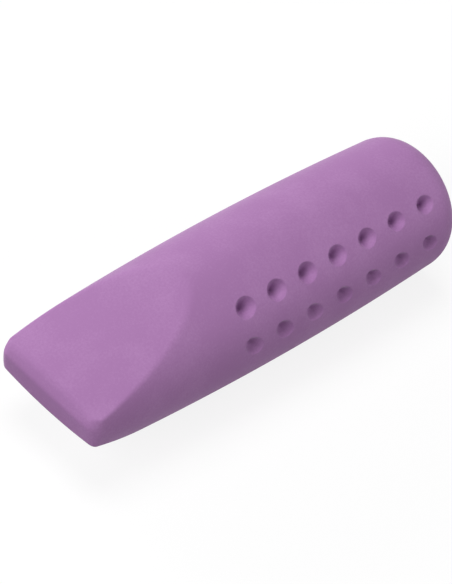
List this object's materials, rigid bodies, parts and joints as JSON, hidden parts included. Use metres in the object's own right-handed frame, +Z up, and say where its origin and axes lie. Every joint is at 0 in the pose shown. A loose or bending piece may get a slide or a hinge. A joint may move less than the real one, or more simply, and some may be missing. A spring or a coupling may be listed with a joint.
{
  "type": "pencil eraser topper",
  "caption": "Slip-on eraser cap in soft lilac rubber: bulged round barrel with a pencil socket at one end, a blunt two-faced chisel at the other, and rows of grip dimples.",
  "frame": {"origin": "on the surface that the cap lies on, under the middle of its length; the cap's axis is 6.5 mm above it", "axes": "+X along the cap's axis, from the chisel tip to the socket's mouth; Y along the chisel's edge; +Z up"},
  "size_m": [0.043, 0.013, 0.013],
  "materials": {
    "eraser_rubber": "matte moulded lilac eraser rubber with a very fine grain"
  },
  "bodies": {
    "root": {"eraser_cap": "eraser_rubber"}
  },
  "joints": []
}
